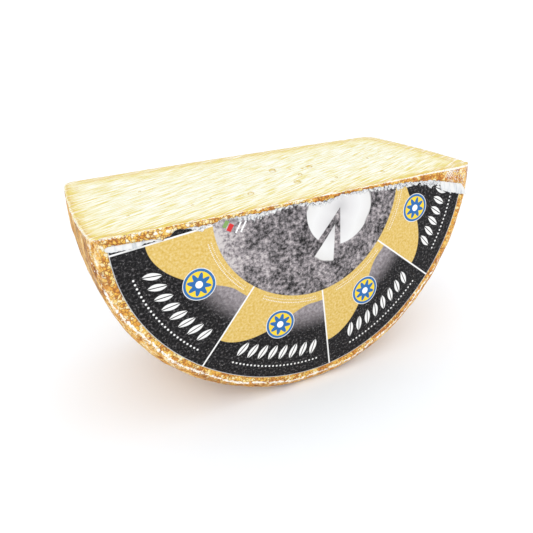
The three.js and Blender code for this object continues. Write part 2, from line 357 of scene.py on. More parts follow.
    dust = add(tree, "TexNoise", {"Vector": flat, "Scale": 1 / dust_grain, "Detail": 4.0, "Roughness": 0.7})
    bloom = add(tree, "Attribute", out=2, attribute_name="bloom")
    dusted = add(tree, "Math", {0: dust, 1: bloom}, operation="ADD")
    chalk = add(tree, "MapRange", {0: dusted, 1: 0.84, 2: 0.9, 4: 0.95})
    crest_run = add(tree, "VectorMath", {0: bow, 1: (1 / 2.4, 1 / 1.3, 0.0)}, operation="MULTIPLY")
    crest = add(tree, "TexNoise", {"Vector": crest_run, "Scale": 1.0, "Detail": 4.0, "Roughness": 0.62})
    ridge = add(tree, "Attribute", out=2, attribute_name="ridge")
    crested = add(tree, "Math", {0: ridge, 1: 0.36, 2: crest}, operation="MULTIPLY_ADD")
    crust = add(tree, "MapRange", {0: crested, 1: 0.76, 2: 0.8})
    white = add(tree, "Math", {0: chalk, 1: crust}, operation="MAXIMUM")
    pale = add(tree, "Mix", {0: white, 6: warm, 7: paint("#F0ECE2")}, data_type="RGBA")
    fleck = add(tree, "TexNoise", {"Vector": flat, "Scale": 1 / dust_grain, "Detail": 2.0})
    flecks = add(tree, "MapRange", {0: fleck, 1: 0.62, 2: 0.7, 4: 0.7})
    colour = add(tree, "Mix", {0: flecks, 6: pale, 7: paint("#5A3819")}, data_type="RGBA")
    raised = add(tree, "MapRange", {0: seam, 2: 0.35})
    relief = add(tree, "Mix", {0: rim_mix, 2: raised, 3: streak})
    rough_relief = add(tree, "Math", {0: dust, 1: 0.5, 2: relief}, operation="MULTIPLY_ADD")
    bump = add(tree, "Bump", {"Height": rough_relief, "Strength": 0.5, "Distance": 0.45 * MM})
    surface = add(tree, "BsdfPrincipled", {
        "Base Color": colour, "Normal": bump, "Roughness": 0.72, "IOR": 1.45, "Subsurface Weight": 0.06,
        "Subsurface Radius": (1.0, 0.6, 0.3), "Subsurface Scale": 1.5 * MM})
    add(tree, "OutputMaterial", {0: surface})
    return material


def cut_paste():
    """Semi-hard paste cut by a knife: ivory in the middle, golden where it dried next to the rind, a
    little see-through, with the knife's long fine drag marks in yellow and white, a close curd grain, a
    dry white line at its rim and a golden edge round each eye."""
    material, tree = new_material("knife_cut_cheese_paste")
    flat = millimetres(tree)
    dried_depth, curd_grain = 30.0, 1.2
    knife_turn, mark_length, mark_width = -0.42, 16.0, 1.1
    edge = add(tree, "Attribute", out=2, attribute_name="edge")
    side = add(tree, "Attribute", out=2, attribute_name="rind_side")
    uneven = add(tree, "TexNoise", {"Vector": flat, "Scale": 1 / 6, "Detail": 4.0})
    shift = add(tree, "MapRange", {0: uneven, 1: 0.3, 2: 0.7, 3: -1.3, 4: 1.3})
    inner = add(tree, "MapRange", {0: edge, 1: 0.5, 2: 3.0})
    shifted = add(tree, "Math", {0: shift, 1: inner, 2: edge}, operation="MULTIPLY_ADD")
    depth = add(tree, "MapRange", {0: shifted, 2: dried_depth})
    soft = add(tree, "ValToRGB", {0: depth}, stops=(
        (0.0, "#E8E2CC"), (1.0, "#E8E9D8"), (0.022, "#E4D8AE"), (0.038, "#CDA134"), (0.06, "#D3AE46"),
        (0.085, "#DAC26A"), (0.125, "#DDCA7C"), (0.165, "#E4DAAE"), (0.25, "#E7E2C0"), (0.5, "#E8E7D0")))
    firm = add(tree, "ValToRGB", {0: depth}, stops=(
        (0.0, "#C9A35C"), (1.0, "#E8E9D8"), (0.03, "#D8BE7E"), (0.15, "#DDC88C"), (0.205, "#DCC680"),
        (0.235, "#CBA861"), (0.265, "#E2D494"), (0.42, "#E6E0BC")))
    zone = add(tree, "Mix", {0: side, 6: soft, 7: firm}, data_type="RGBA")
    drift = add(tree, "TexNoise", {"Vector": flat, "Scale": 1 / 45, "Detail": 1.0}, out=1)
    swayed = add(tree, "VectorMath", {0: drift, 1: (4.0, 4.0, 0.0), 2: flat}, operation="MULTIPLY_ADD")
    turned = add(tree, "VectorRotate", {"Vector": swayed, "Angle": knife_turn}, rotation_type="Z_AXIS")
    shrink = (1 / mark_length, 1 / mark_width, 0.0)
    marks = add(tree, "VectorMath", {0: turned, 1: shrink}, operation="MULTIPLY")
    drag = add(tree, "TexNoise", {"Vector": marks, "Scale": 1.0, "Detail": 4.0, "Roughness": 0.6})
    drag_mix = add(tree, "MapRange", {0: drag, 1: 0.5, 2: 0.585, 4: 0.9})
    streaky = add(tree, "Mix", {0: drag_mix, 6: zone, 7: paint("#D8C754")}, data_type="RGBA")
    pale_mix = add(tree, "MapRange", {0: drag, 1: 0.47, 2: 0.38, 4: 0.9})
    pale = add(tree, "Mix", {0: pale_mix, 6: streaky, 7: paint("#F1F2EE")}, data_type="RGBA")
    curd = add(tree, "TexNoise", {"Vector": flat, "Scale": 1 / curd_grain, "Detail": 3.0})
    curd_mix = add(tree, "MapRange", {0: curd, 1: 0.56, 2: 0.75, 4: 0.35})
    curdled = add(tree, "Mix", {0: curd_mix, 6: pale, 7: paint("#E2D59C")}, data_type="RGBA")

    unturned = add(tree, "VectorRotate", {"Vector": flat, "Angle": -EYE_TURN}, rotation_type="Z_AXIS")
    near = 9.0  # to the nearest eye, as a share of its half size; this start is far outside
    for x, y, wide, long in EYES:
        at = Matrix.Rotation(-EYE_TURN, 3, "Z") @ Vector((x, y, 0))
        size = Vector((2 / wide, 2 / long, 0.0))
        middle = (-at.x * size.x, -at.y * size.y, 0.0)
        from_eye = add(tree, "VectorMath", {0: unturned, 1: size, 2: middle}, operation="MULTIPLY_ADD")
        reach = add(tree, "VectorMath", {0: from_eye}, operation="LENGTH")
        near = add(tree, "Math", {0: reach, 1: near}, operation="MINIMUM")
    lit = add(tree, "MapRange", {0: near, 1: 0.5, 2: 0.95, 3: 0.1, 4: 1.0})
    fading = add(tree, "MapRange", {0: near, 1: 1.3, 2: 1.0})
    broken = add(tree, "MapRange", {0: curd, 1: 0.42, 2: 0.54, 3: 0.5, 4: 0.9})
    ring = add(tree, "Math", {0: lit, 1: fading}, operation="MULTIPLY")
    rimmed = add(tree, "Math", {0: ring, 1: broken}, operation="MULTIPLY")
    colour = add(tree, "Mix", {0: rimmed, 6: curdled, 7: paint("#C9AB3E")}, data_type="RGBA")
    skin = add(tree, "Math", {0: drag, 1: 0.6, 2: curd}, operation="MULTIPLY_ADD")
    bump = add(tree, "Bump", {"Height": skin, "Strength": 0.25, "Distance": 0.3 * MM})
    surface = add(tree, "BsdfPrincipled", {
        "Base Color": colour, "Normal": bump, "Roughness": 0.52, "IOR": 1.46, "Subsurface Weight": 0.15,
        "Subsurface Radius": (1.0, 0.8, 0.45), "Subsurface Scale": 1.5 * MM})
    add(tree, "OutputMaterial", {0: surface})
    return material


def eye_blank():
    """Flat, slightly uneven bodies that hollow the small gas eyes out of the paste."""
    eyes = bmesh.new()
    turn = Matrix.Rotation(EYE_TURN, 3, "Z")
    for index, (x, y, wide, long) in enumerate(EYES):
        ball = bmesh.ops.create_icosphere(eyes, subdivisions=3, radius=0.5)
        for vertex in ball["verts"]:
            p = vertex.co * (1.0 + 0.15 * noise.noise(vertex.co * 2.2 + Vector((index, 0, 0))))
            centre = Vector((x, y, CENTRE_HEIGHT - CUT_BELOW_CENTRE))
            vertex.co = (centre + turn @ Vector((p.x * wide, p.y * long, p.z * 0.45 * wide))) * MM
    for face in eyes.faces:
        face.material_index = 1
    mesh = bpy.data.meshes.new("eye_blank")
    eyes.to_mesh(mesh)
    eyes.free()
    return new_object("eye_blank", mesh)


def freeze(made):
    """Turns a piece with its modifiers into a plain mesh, and removes the modifiers."""
    bpy.context.view_layer.update()
    evaluated = made.evaluated_get(bpy.context.evaluated_depsgraph_get())
    mesh = bpy.data.meshes.new_from_object(evaluated)
    made.modifiers.clear()
    made.data = mesh
    return mesh


def smooth(made):
    """Shades a piece smooth, but keeps its sharp edges."""
    made.data.shade_smooth()
    made.data.set_sharp_from_angle(angle=math.radians(50))


def float_attribute(made, name, values):
    layer = made.data.attributes.new(name, "FLOAT", "POINT")
    layer.data.foreach_set("value", np.asarray(values, dtype=np.float32).ravel())


def vector_attribute(made, name, values):
    layer = made.data.attributes.new(name, "FLOAT_VECTOR", "POINT")
    layer.data.foreach_set("vector", np.asarray(values, dtype=np.float32).ravel())


points, faces, rind_faces, rind_grid, face_rings = half_wheel_mesh()
cheese = mesh_object("cheese_half_wheel", points, faces, (brushed_rind(), cut_paste()))
paste_faces = np.zeros(len(faces), dtype=np.int32)
paste_faces[rind_faces:] = 1
cheese.data.polygons.foreach_set("material_index", paste_faces)
blank = eye_blank()
for material in cheese.data.materials:
    blank.data.materials.append(material)
hollow = cheese.modifiers.new("eyes", "BOOLEAN")
hollow.operation, hollow.solver, hollow.object = "DIFFERENCE", "MANIFOLD", blank
freeze(cheese)
bpy.data.objects.remove(blank)

spots = wheel_places(cheese)
x, y, z = spots.T
wheel_angle = np.arctan2(z, x)
nominal = np.hypot(x, z) / roundness(wheel_angle, y)
rim_share = smoothstep(FACE_RADIUS - 2.0, FACE_RADIUS + EDGE_ROUNDING, nominal)
strand = np.stack([wheel_angle * WHEEL_RADIUS, past_face(nominal, y), rim_share], 1)
vector_attribute(cheese, "strand", strand)
patches = np.clip(grain(spots, 9.0, 21.0), 0.0, 0.6)
dusty_end = smoothstep(78.0, 95.0, x) * smoothstep(-24.0, -14.0, z) * (y < 0)
right_half = smoothstep(25.0, 60.0, x)
lip = 1.0 + 1.4 * smoothstep(-82.0, -100.0, x) + 0.5 * right_half
cut_lip = smoothstep(lip, 0.35 * lip, -CUT_BELOW_CENTRE - z) * (y < 0) * (0.34 + 0.1 * right_half)
float_attribute(cheese, "bloom", cut_lip + 0.22 * patches + 0.31 * dusty_end)
degrees = np.degrees(wheel_angle)
ends = 1.0 - 0.35 * smoothstep(-162.0, -170.0, degrees) - 0.6 * smoothstep(-40.0, -25.0, degrees)
float_attribute(cheese, "ridge", salt_ridge(spots, nominal, y) * ends)
float_attribute(cheese, "open_rind", smoothstep(-HALF_THICKNESS + 3.0, -HALF_THICKNESS + 20.0, y))
outline = np.concatenate([rind_grid[:, 0, :2], rind_grid[:, -1, :2]])
nearest = np.array([np.hypot(outline[:, 0] - px, outline[:, 1] - py).min() for px, py in spots[:, :2]])
float_attribute(cheese, "edge", nearest)
firm_side = np.maximum(smoothstep(20.0, 40.0, y), smoothstep(85.0, 100.0, x))
float_attribute(cheese, "rind_side", firm_side * smoothstep(-112.0, -95.0, x))
smooth(cheese)
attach(cheese, "root")
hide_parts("cheese")


# --------------------------------------------------
# The dry flakes. Real pieces: chips of salt crust and of dried rind that stand on the rind's front corner
# since the hoop and the brush rubbed over it. Material: the same dried curd, bleached white by salt.
# --------------------------------------------------
def salt_crust():
    """Salt-bleached dry curd: off-white with tan patches, chalky, no sheen at all."""
    material, tree = new_material("salt_bleached_rind_crust")
    flat = millimetres(tree)
    patch = add(tree, "TexNoise", {"Vector": flat, "Scale": 1 / 2.2, "Detail": 2.0})
    colour = add(tree, "ValToRGB", {0: patch}, stops=(
        (0.35, "#CFA765"), (0.6, "#E9E4D8"), (0.45, "#DCCDAE")))
    surface = add(tree, "BsdfPrincipled", {"Base Color": colour, "Roughness": 0.9, "IOR": 1.4})
    add(tree, "OutputMaterial", {0: surface})
    return material


def flake_tree():
    """Scatters flat chips over a surface, as thick as its attribute `salt` says."""
    tree = bpy.data.node_groups.new("scattered_flakes", "GeometryNodeTree")
    sockets = {}
    for name, kind in (("Geometry", "Geometry"), ("Flakes per square metre", "Float"),
                       ("Flake size", "Float"), ("Seed", "Int"), ("Material", "Material")):
        made = tree.interface.new_socket(name, in_out="INPUT", socket_type="NodeSocket" + kind)
        sockets[name] = made.identifier
    tree.interface.new_socket("Geometry", in_out="OUTPUT", socket_type="NodeSocketGeometry")
    given = add(tree, "NodeGroupInput").node.outputs
    salt = add(tree, "GeometryNodeInputNamedAttribute", {"Name": "salt"}, data_type="FLOAT")
    thick = add(tree, "Math", {0: salt, 1: given["Flakes per square metre"]}, operation="MULTIPLY")
    spread = add(tree, "GeometryNodeDistributePointsOnFaces", {
        "Mesh": given["Geometry"], "Density": thick, "Seed": given["Seed"]}, distribute_method="RANDOM")
    chip = add(tree, "GeometryNodeMeshIcoSphere", {"Radius": 0.5, "Subdivisions": 1})
    sizes = add(tree, "FunctionNodeRandomValue", {
        "Min": (0.6, 0.3, 0.2), "Max": (1.6, 0.9, 0.5), "Seed": 5}, data_type="FLOAT_VECTOR")
    scale = add(tree, "VectorMath", {0: sizes, "Scale": given["Flake size"]}, operation="SCALE")
    placed = add(tree, "GeometryNodeInstanceOnPoints", {
        "Points": spread, "Instance": chip, "Rotation": spread.node.outputs["Rotation"], "Scale": scale})
    spin = add(tree, "FunctionNodeRandomValue", {
        "Min": (-0.5, -0.5, -3.14), "Max": (0.5, 0.5, 3.14), "Seed": 9}, data_type="FLOAT_VECTOR")
    spun = add(tree, "GeometryNodeRotateInstances", {"Instances": placed, "Rotation": spin})
    real = add(tree, "GeometryNodeRealizeInstances", {"Geometry": spun})
    coated = add(tree, "GeometryNodeSetMaterial", {"Geometry": real, "Material": given["Material"]})
    add(tree, "NodeGroupOutput", {0: coated})
    return tree, sockets


corner_band = rind_grid[face_rings - 3:face_rings + 11]
spots = corner_band.reshape(-1, 3)
band_faces = grid_faces(np.arange(len(spots)).reshape(corner_band.shape[:2]))
flakes = mesh_object("dry_flakes", spots, band_faces)
x, y, z = spots.T
nominal = np.hypot(x, z) / roundness(np.arctan2(z, x), y)
salt = salt_ridge(spots, nominal, y) * np.clip(0.2 + 1.6 * grain(spots, 4.0, 51.0), 0.0, 1.0)
float_attribute(flakes, "salt", salt)
tree, sockets = flake_tree()
scatter = flakes.modifiers.new("flakes", "NODES")
scatter.node_group = tree
for name, value in (("Flakes per square metre", 900000.0), ("Flake size", 0.9 * MM), ("Seed", 11),
                    ("Material", salt_crust())):
    scatter[sockets[name]] = value
freeze(flakes)
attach(flakes, "root")
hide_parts("cheese")


# --------------------------------------------------
# The paper label. Real piece: a round label glued to the wheel's flat face before it was halved.
# Material: thin coated paper, offset printed; the knife tore it, so its top edge shows white fibres.
# --------------------------------------------------
LABEL_ABOVE_CENTRE = 1.2
PAPER = 0.32
GLUE = 0.1
SECTORS = 8  # the print repeats round the label
FIRST_DIVIDER = math.radians(174.3)
PICTURE_RADIUS = 54.9
GOLD_EDGE = (88.2, 61.0)  # radius of the gold band's outer edge, from one side of a sector to the other
LEAVES, LEAF_ROW, LEAF_HALF_LENGTH, LEAF_HALF_WIDTH = 11, 89.2, 4.9, 2.05
BEAD_ROWS = ((33, 97.8, 0.55, 1.0), (44, 59.0, 0.32, 0.8), (44, 57.4, 0.26, 0.7))
ROSETTE_ROW, ROSETTE_RADIUS = 72.0, 8.6
HEM_RADIUS = 104.55
PALE_WHEEL_RADIUS, SLICE_BEARING = 20.6, -1.95
PALE_WHEEL = ((17.0, -10.0, 0.0), (0.36, 0.38))  # the middle, and the half angle that is cut away
PALE_SLICE = ((13.6, -18.6, 0.0), (0.33, 0.31))  # the tip, and the half angle that is left
PRINT_EDGE = (  # x, then how high above the cut the print still reaches
    (-105.6, -5.8), (-99.5, -6.9), (-92.8, -7.0), (-86.1, -5.2), (-81, -6.3), (-78, -4.6), (-72.5, -0.6),
    (-69, -0.8), (-66.5, -3.4), (-62, -5.0), (-57.5, -3.8), (-50, -1.7), (-45, -2.6), (-41, -4.4),
    (-33.4, -5.4), (-23.1, -3.8), (-18.8, -2.6), (-8, -2.2), (1.6, -5.0), (9, -4.7), (16.6, -2.4),
    (28.3, -3.2), (37.3, -3.1), (50.7, -4.8), (56.6, -5.7), (63.1, -5.4), (67.1, -4.5), (71.8, -5.8),
    (79.4, -8.4), (85.7, -8.3), (88.1, -10), (91.7, -12.8), (98.7, -14.4), (107, -16.9),
)


def print_line(x):
    """The height at which the print ends; above it the torn fibres are bare."""
    places, heights = zip(*PRINT_EDGE)
    return -CUT_BELOW_CENTRE + np.interp(x, places, heights)


def torn_edge(x):
    """The label's top edge, with the teeth and fibres that tearing left."""
    fine = np.array([noise.noise(Vector((p / 1.3, 4.0, 0.0))) + 0.6 * noise.noise(Vector((p / 0.5, 8.0, 0.0)))
                     for p in np.ravel(x)]).reshape(np.shape(x))
    return torn_line(x) + 0.35 * np.sin(1.3 * x) * np.cos(0.47 * x + 1.0) + 0.42 * fine


def closed_sheet(front, back):
    """Points and faces of a sheet between two grids of the same size, closed along its four edges."""
    points = np.concatenate([front.reshape(-1, 3), back.reshape(-1, 3)])
    near = np.arange(front[:, :, 0].size).reshape(front.shape[:2])
    far = near + near.size
    faces = grid_faces(near) + grid_faces(far.T)
    rims = [[*at[0, :], *at[1:, -1], *at[-1, -2::-1], *at[-2:0:-1, 0]] for at in (near, far)]
    for k in range(len(rims[0])):
        faces.append((rims[0][k - 1], rims[1][k - 1], rims[1][k], rims[0][k]))
    return points, faces


def label_grids():
    """The front and the back of the half label, row by row from its torn edge to its round rim."""
    angles = np.linspace(-math.pi, 0.0, 8001)
    rim = LABEL_RADIUS * roundness(angles, -HALF_THICKNESS)
    rim_x, rim_z = rim * np.cos(angles), LABEL_ABOVE_CENTRE + rim * np.sin(angles)
    kept = np.flatnonzero(rim_z <= torn_line(rim_x) - 1.0)
    angles = np.linspace(angles[kept[0]], angles[kept[-1]], 481)
    rim = LABEL_RADIUS * roundness(angles, -HALF_THICKNESS)
    x = (rim * np.cos(angles))[None, :]
    low = (LABEL_ABOVE_CENTRE + rim * np.sin(angles))[None, :]
    top = torn_edge(x)
    share = (np.linspace(0.0, 1.0, 45) ** 1.8)[:, None]
    z = top + (low - top) * share
    x = x + 0.0 * z
    flat = np.stack([x, 0.0 * z, z], 2).reshape(-1, 3)
    ripple = grain(flat, 21.0, 31.0).reshape(z.shape) * 0.16
    lifted = np.clip(0.25 + grain(flat, 7.0, 33.0), 0.0, 1.0).reshape(z.shape)
    curl = 0.5 * lifted * np.exp(-(top - z) / 2.2)
    fibres = grain(flat, 0.8, 35.0).reshape(z.shape)
    bare = smoothstep(-0.5, 0.3, z - print_line(x))
    face = front_face(x, z)
    back_y = face - GLUE - np.abs(ripple) - curl
    front_y = back_y - PAPER + bare * (0.1 + 0.1 * fibres)
    return np.stack([x, front_y, z], 2), np.stack([x, back_y, z], 2)


def printed_label():
    """Coated paper printed in black, gold and grey, with white lines and ornaments, yellow and blue
    rosettes and a pale wheel in the middle; matt, slightly scuffed, white and fibrous where it is torn,
    with painted grey shade and dark ink flecks among the torn fibres."""
    material, tree = new_material("offset_printed_label_paper")
    printed = add(tree, "Attribute", out=1, attribute_name="print_place")
    across, up, torn = add(tree, "SeparateXYZ", {0: printed}).node.outputs
    plane = add(tree, "CombineXYZ", {0: across, 1: up})

    def polar(offset):
        """How long each vector is, and in which direction it points."""
        sides = add(tree, "SeparateXYZ", {0: offset}).node.outputs
        length = add(tree, "VectorMath", {0: offset}, operation="LENGTH")
        return length, add(tree, "Math", {0: sides[1], 1: sides[0]}, operation="ARCTAN2")

    radius, angle = polar(plane)
    sector = 2 * math.pi / SECTORS
    sectors = add(tree, "Math", {0: angle, 1: 1 / sector, 2: FIRST_DIVIDER / sector},
                  operation="MULTIPLY_ADD")
    local = add(tree, "Math", {0: sectors}, operation="FRACT")

    def from_row(count, row):
        """How far each place is from the nearest point of a row, which has `count` in each sector."""
        cells = add(tree, "Math", {0: local, 1: float(count)}, operation="MULTIPLY")
        share = add(tree, "Math", {0: cells}, operation="FRACT")
        centred = add(tree, "Math", {0: share, 1: 0.5}, operation="SUBTRACT")
        arc = add(tree, "Math", {0: radius, 1: sector / count}, operation="MULTIPLY")
        along = add(tree, "Math", {0: centred, 1: arc}, operation="MULTIPLY")
        outward = add(tree, "Math", {0: radius, 1: row}, operation="SUBTRACT")
        return add(tree, "CombineXYZ", {0: along, 1: outward})

    # The outer fields: black, smoky grey further in on some of them, and the gold band.
    fleck = add(tree, "TexNoise", {"Vector": plane, "Scale": 1 / 1.3, "Detail": 3.0})
    cloud = add(tree, "TexNoise", {"Vector": plane, "Scale": 1 / 2.0, "Detail": 5.0, "Roughness": 0.65})
    black = add(tree, "ValToRGB", {0: fleck}, stops=(
        (0.35, "#100F10"), (0.8, "#7A7778"), (0.5, "#1C1B1C"), (0.6, "#343233")))
    fading = add(tree, "MapRange", {0: radius, 1: 64.0, 2: 79.0}, interpolation_type="SMOOTHSTEP")
    smoky = add(tree, "Math", {0: sectors, 1: 1.75, 2: 1.75}, operation="COMPARE")
    at_ends = add(tree, "Math", {0: 1.0, 1: smoky}, operation="SUBTRACT")
    fade = add(tree, "Math", {0: fading, 1: at_ends}, operation="MAXIMUM")
    smoke = add(tree, "ValToRGB", {0: cloud}, stops=(
        (0.3, "#6A6466"), (0.7, "#A59FA1"), (0.45, "#837C7F"), (0.55, "#938C8F")))
    dusk = add(tree, "Mix", {0: fade, 6: smoke, 7: black}, data_type="RGBA")
    wave = add(tree, "MapRange", {0: local, 2: 0.85, 3: GOLD_EDGE[0], 4: GOLD_EDGE[1]},
               interpolation_type="SMOOTHSTEP")
    gold_room = add(tree, "Math", {0: wave, 1: radius}, operation="SUBTRACT")
    gold_mask = add(tree, "MapRange", {0: gold_room, 1: -0.12, 2: 0.12})
    gold = add(tree, "ValToRGB", {0: fleck}, stops=(
        (0.3, "#C3A04C"), (0.75, "#D9C38A"), (0.5, "#CFB064")))
    outer = add(tree, "Mix", {0: gold_mask, 6: dusk, 7: gold}, data_type="RGBA")

    # The middle: mottled grey, a pale wheel with a slice drawn out of it, and four small plain marks.
    lean = add(tree, "MapRange", {0: across, 1: -55.0, 2: -32.0, 3: 0.17, 4: 0.0})
    misty = add(tree, "Math", {0: cloud, 1: lean}, operation="ADD")
    billow = add(tree, "TexNoise", {"Vector": plane, "Scale": 1 / 11, "Detail": 2.0})
    tone = add(tree, "Math", {0: billow, 1: 0.55, 2: misty}, operation="MULTIPLY_ADD")
    picture = add(tree, "ValToRGB", {0: tone}, stops=(
        (0.57, "#1B1A1B"), (0.99, "#C1BBB9"), (0.68, "#413E3F"), (0.78, "#736E70"), (0.88, "#9B9395")))
    pale_parts = []
    for middle, (outside, inside) in (PALE_WHEEL, PALE_SLICE):
        from_middle = add(tree, "VectorMath", {0: plane, 1: middle}, operation="SUBTRACT")
        distance, bearing = polar(from_middle)
        off_slice = add(tree, "Math", {0: bearing, 1: SLICE_BEARING}, operation="SUBTRACT")
        half_angle = add(tree, "Math", {0: off_slice}, operation="ABSOLUTE")
        in_angle = add(tree, "MapRange", {0: half_angle, 1: outside, 2: inside})
        in_round = add(tree, "MapRange", {0: distance, 1: PALE_WHEEL_RADIUS, 2: PALE_WHEEL_RADIUS - 0.3})
        pale_parts.append((distance, add(tree, "Math", {0: in_angle, 1: in_round}, operation="MULTIPLY")))
    (wheel_reach, wheel), (slice_reach, slice_) = pale_parts
    motif = add(tree, "Math", {0: wheel, 1: slice_}, operation="MAXIMUM")
    nearer = add(tree, "Math", {0: wheel_reach, 1: slice_reach}, operation="MINIMUM")
    faint = add(tree, "Math", {0: billow, 1: 3.0, 2: nearer}, operation="MULTIPLY_ADD")
    out_share = add(tree, "MapRange", {0: faint, 2: 25.0})
    pale = add(tree, "ValToRGB", {0: out_share}, stops=(
        (0.0, "#B3B1B1"), (1.0, "#6E6A6A"), (0.3, "#CFCDCD"), (0.6, "#DAD9D8"), (0.84, "#D2D0CE"),
        (0.87, "#8F8B8A")))
    picture = add(tree, "Mix", {0: motif, 6: picture, 7: pale}, data_type="RGBA")
    for centre, half, shade in (
        ((-47.9, -6.2, 0.0), (1.9, 1.1), "#7C9C5C"), ((-45.6, -8.3, 0.0), (1.9, 1.3), "#C93434"),
        ((-41.3, -9.0, 0.0), (2.9, 0.42), "#EFEFEF"), ((-38.6, -9.0, 0.0), (2.9, 0.42), "#EFEFEF"),
    ):
        moved = add(tree, "VectorMath", {0: plane, 1: centre}, operation="SUBTRACT")
        turned = add(tree, "VectorRotate", {"Vector": moved, "Angle": -1.05}, rotation_type="Z_AXIS")
        sides = add(tree, "SeparateXYZ", {0: turned}).node.outputs
        wide = add(tree, "Math", {0: sides[0], 1: 0.0, 2: half[0]}, operation="COMPARE")
        tall = add(tree, "Math", {0: sides[1], 1: 0.0, 2: half[1]}, operation="COMPARE")
        mark = add(tree, "Math", {0: wide, 1: tall}, operation="MULTIPLY")
        picture = add(tree, "Mix", {0: mark, 6: picture, 7: paint(shade)}, data_type="RGBA")
    in_picture = add(tree, "MapRange", {0: radius, 1: PICTURE_RADIUS + 0.1, 2: PICTURE_RADIUS - 0.1})
    page = add(tree, "Mix", {0: in_picture, 6: outer, 7: picture}, data_type="RGBA")

    # White: a row of leaves and three rows of beads that stop short of the dividers, and thin lines.
    row_middle = add(tree, "Math", {0: local, 1: 6.0 / LEAVES}, operation="SUBTRACT")
    off_row = add(tree, "Math", {0: row_middle}, operation="ABSOLUTE")
    row_room = add(tree, "MapRange", {0: off_row, 1: 4.01 / LEAVES, 2: 4.0 / LEAVES})
    leaf_place = add(tree, "SeparateXYZ", {0: from_row(LEAVES, LEAF_ROW)}).node.outputs
    tilted = add(tree, "Math", {0: leaf_place[1], 1: 0.34, 2: leaf_place[0]}, operation="MULTIPLY_ADD")
    off_vein = add(tree, "Math", {0: tilted}, operation="ABSOLUTE")
    height = add(tree, "Math", {0: leaf_place[1], 1: LEAF_HALF_LENGTH}, operation="DIVIDE")
    squared = add(tree, "Math", {0: height, 1: height}, operation="MULTIPLY")
    leaf_half = add(tree, "Math", {0: squared, 1: -LEAF_HALF_WIDTH, 2: LEAF_HALF_WIDTH},
                    operation="MULTIPLY_ADD")
    leaf_room = add(tree, "Math", {0: leaf_half, 1: off_vein}, operation="SUBTRACT")
    blade = add(tree, "MapRange", {0: leaf_room, 2: 0.2})
    vein = add(tree, "MapRange", {0: off_vein, 1: 0.2, 2: 0.34})
    leaf = add(tree, "Math", {0: blade, 1: vein}, operation="MULTIPLY")
    white = add(tree, "Math", {0: leaf, 1: row_room}, operation="MULTIPLY")
    for count, row, size, strength in BEAD_ROWS:
        bead_r = add(tree, "VectorMath", {0: from_row(count, row)}, operation="LENGTH")
        dot = add(tree, "MapRange", {0: bead_r, 1: size + 0.08, 2: size - 0.08, 4: strength})
        bead = add(tree, "Math", {0: dot, 1: row_room}, operation="MULTIPLY")
        white = add(tree, "Math", {0: white, 1: bead}, operation="MAXIMUM")
    to_divider = add(tree, "Math", {0: local, 1: 0.5}, operation="PINGPONG")
    divider_arc = add(tree, "Math", {0: to_divider, 1: radius}, operation="MULTIPLY")
    line = add(tree, "MapRange", {0: divider_arc, 1: 0.6, 2: 0.5})
    outside = add(tree, "MapRange", {0: radius, 1: PICTURE_RADIUS, 2: PICTURE_RADIUS + 0.1})
    dividers = add(tree, "Math", {0: line, 1: outside}, operation="MULTIPLY")
    hem = add(tree, "MapRange", {0: radius, 1: HEM_RADIUS, 2: HEM_RADIUS + 0.15, 4: 0.6})
    for more in (dividers, hem):
        white = add(tree, "Math", {0: white, 1: more}, operation="MAXIMUM")
    lined = add(tree, "Mix", {0: white, 6: page, 7: paint("#E3E2E0")}, data_type="RGBA")

    # A rosette in each sector: a blue star with a white eye, on a yellow plate ringed in blue and white.
    rosette_r, rosette_angle = polar(from_row(1, ROSETTE_ROW))
    eighths = add(tree, "Math", {0: rosette_angle, 1: 8.0}, operation="MULTIPLY")
    petal = add(tree, "Math", {0: eighths}, operation="COSINE")
    petal_r = add(tree, "Math", {0: petal, 1: 1.35, 2: 5.0}, operation="MULTIPLY_ADD")
    petal_room = add(tree, "Math", {0: petal_r, 1: rosette_r}, operation="SUBTRACT")
    petals = add(tree, "MapRange", {0: petal_room, 1: -0.1, 2: 0.1})
    rings = add(tree, "MapRange", {0: rosette_r, 2: 10.0})
    plate = add(tree, "ValToRGB", {0: rings}, stops=(
        (0.0, "#E8C838"), (0.825, "#DEDDDB"), (0.68, "#E8C838"), (0.69, "#366AA2"), (0.815, "#366AA2")))
    flower = add(tree, "Mix", {0: petals, 6: plate, 7: paint("#2F66A2")}, data_type="RGBA")
    eye = add(tree, "MapRange", {0: rosette_r, 1: 2.0, 2: 1.8})
    eyed = add(tree, "Mix", {0: eye, 6: flower, 7: paint("#F4F3EE")}, data_type="RGBA")
    in_rosette = add(tree, "MapRange", {0: rosette_r, 1: ROSETTE_RADIUS + 0.05, 2: ROSETTE_RADIUS - 0.1})
    whole = add(tree, "Mix", {0: in_rosette, 6: lined, 7: eyed}, data_type="RGBA")
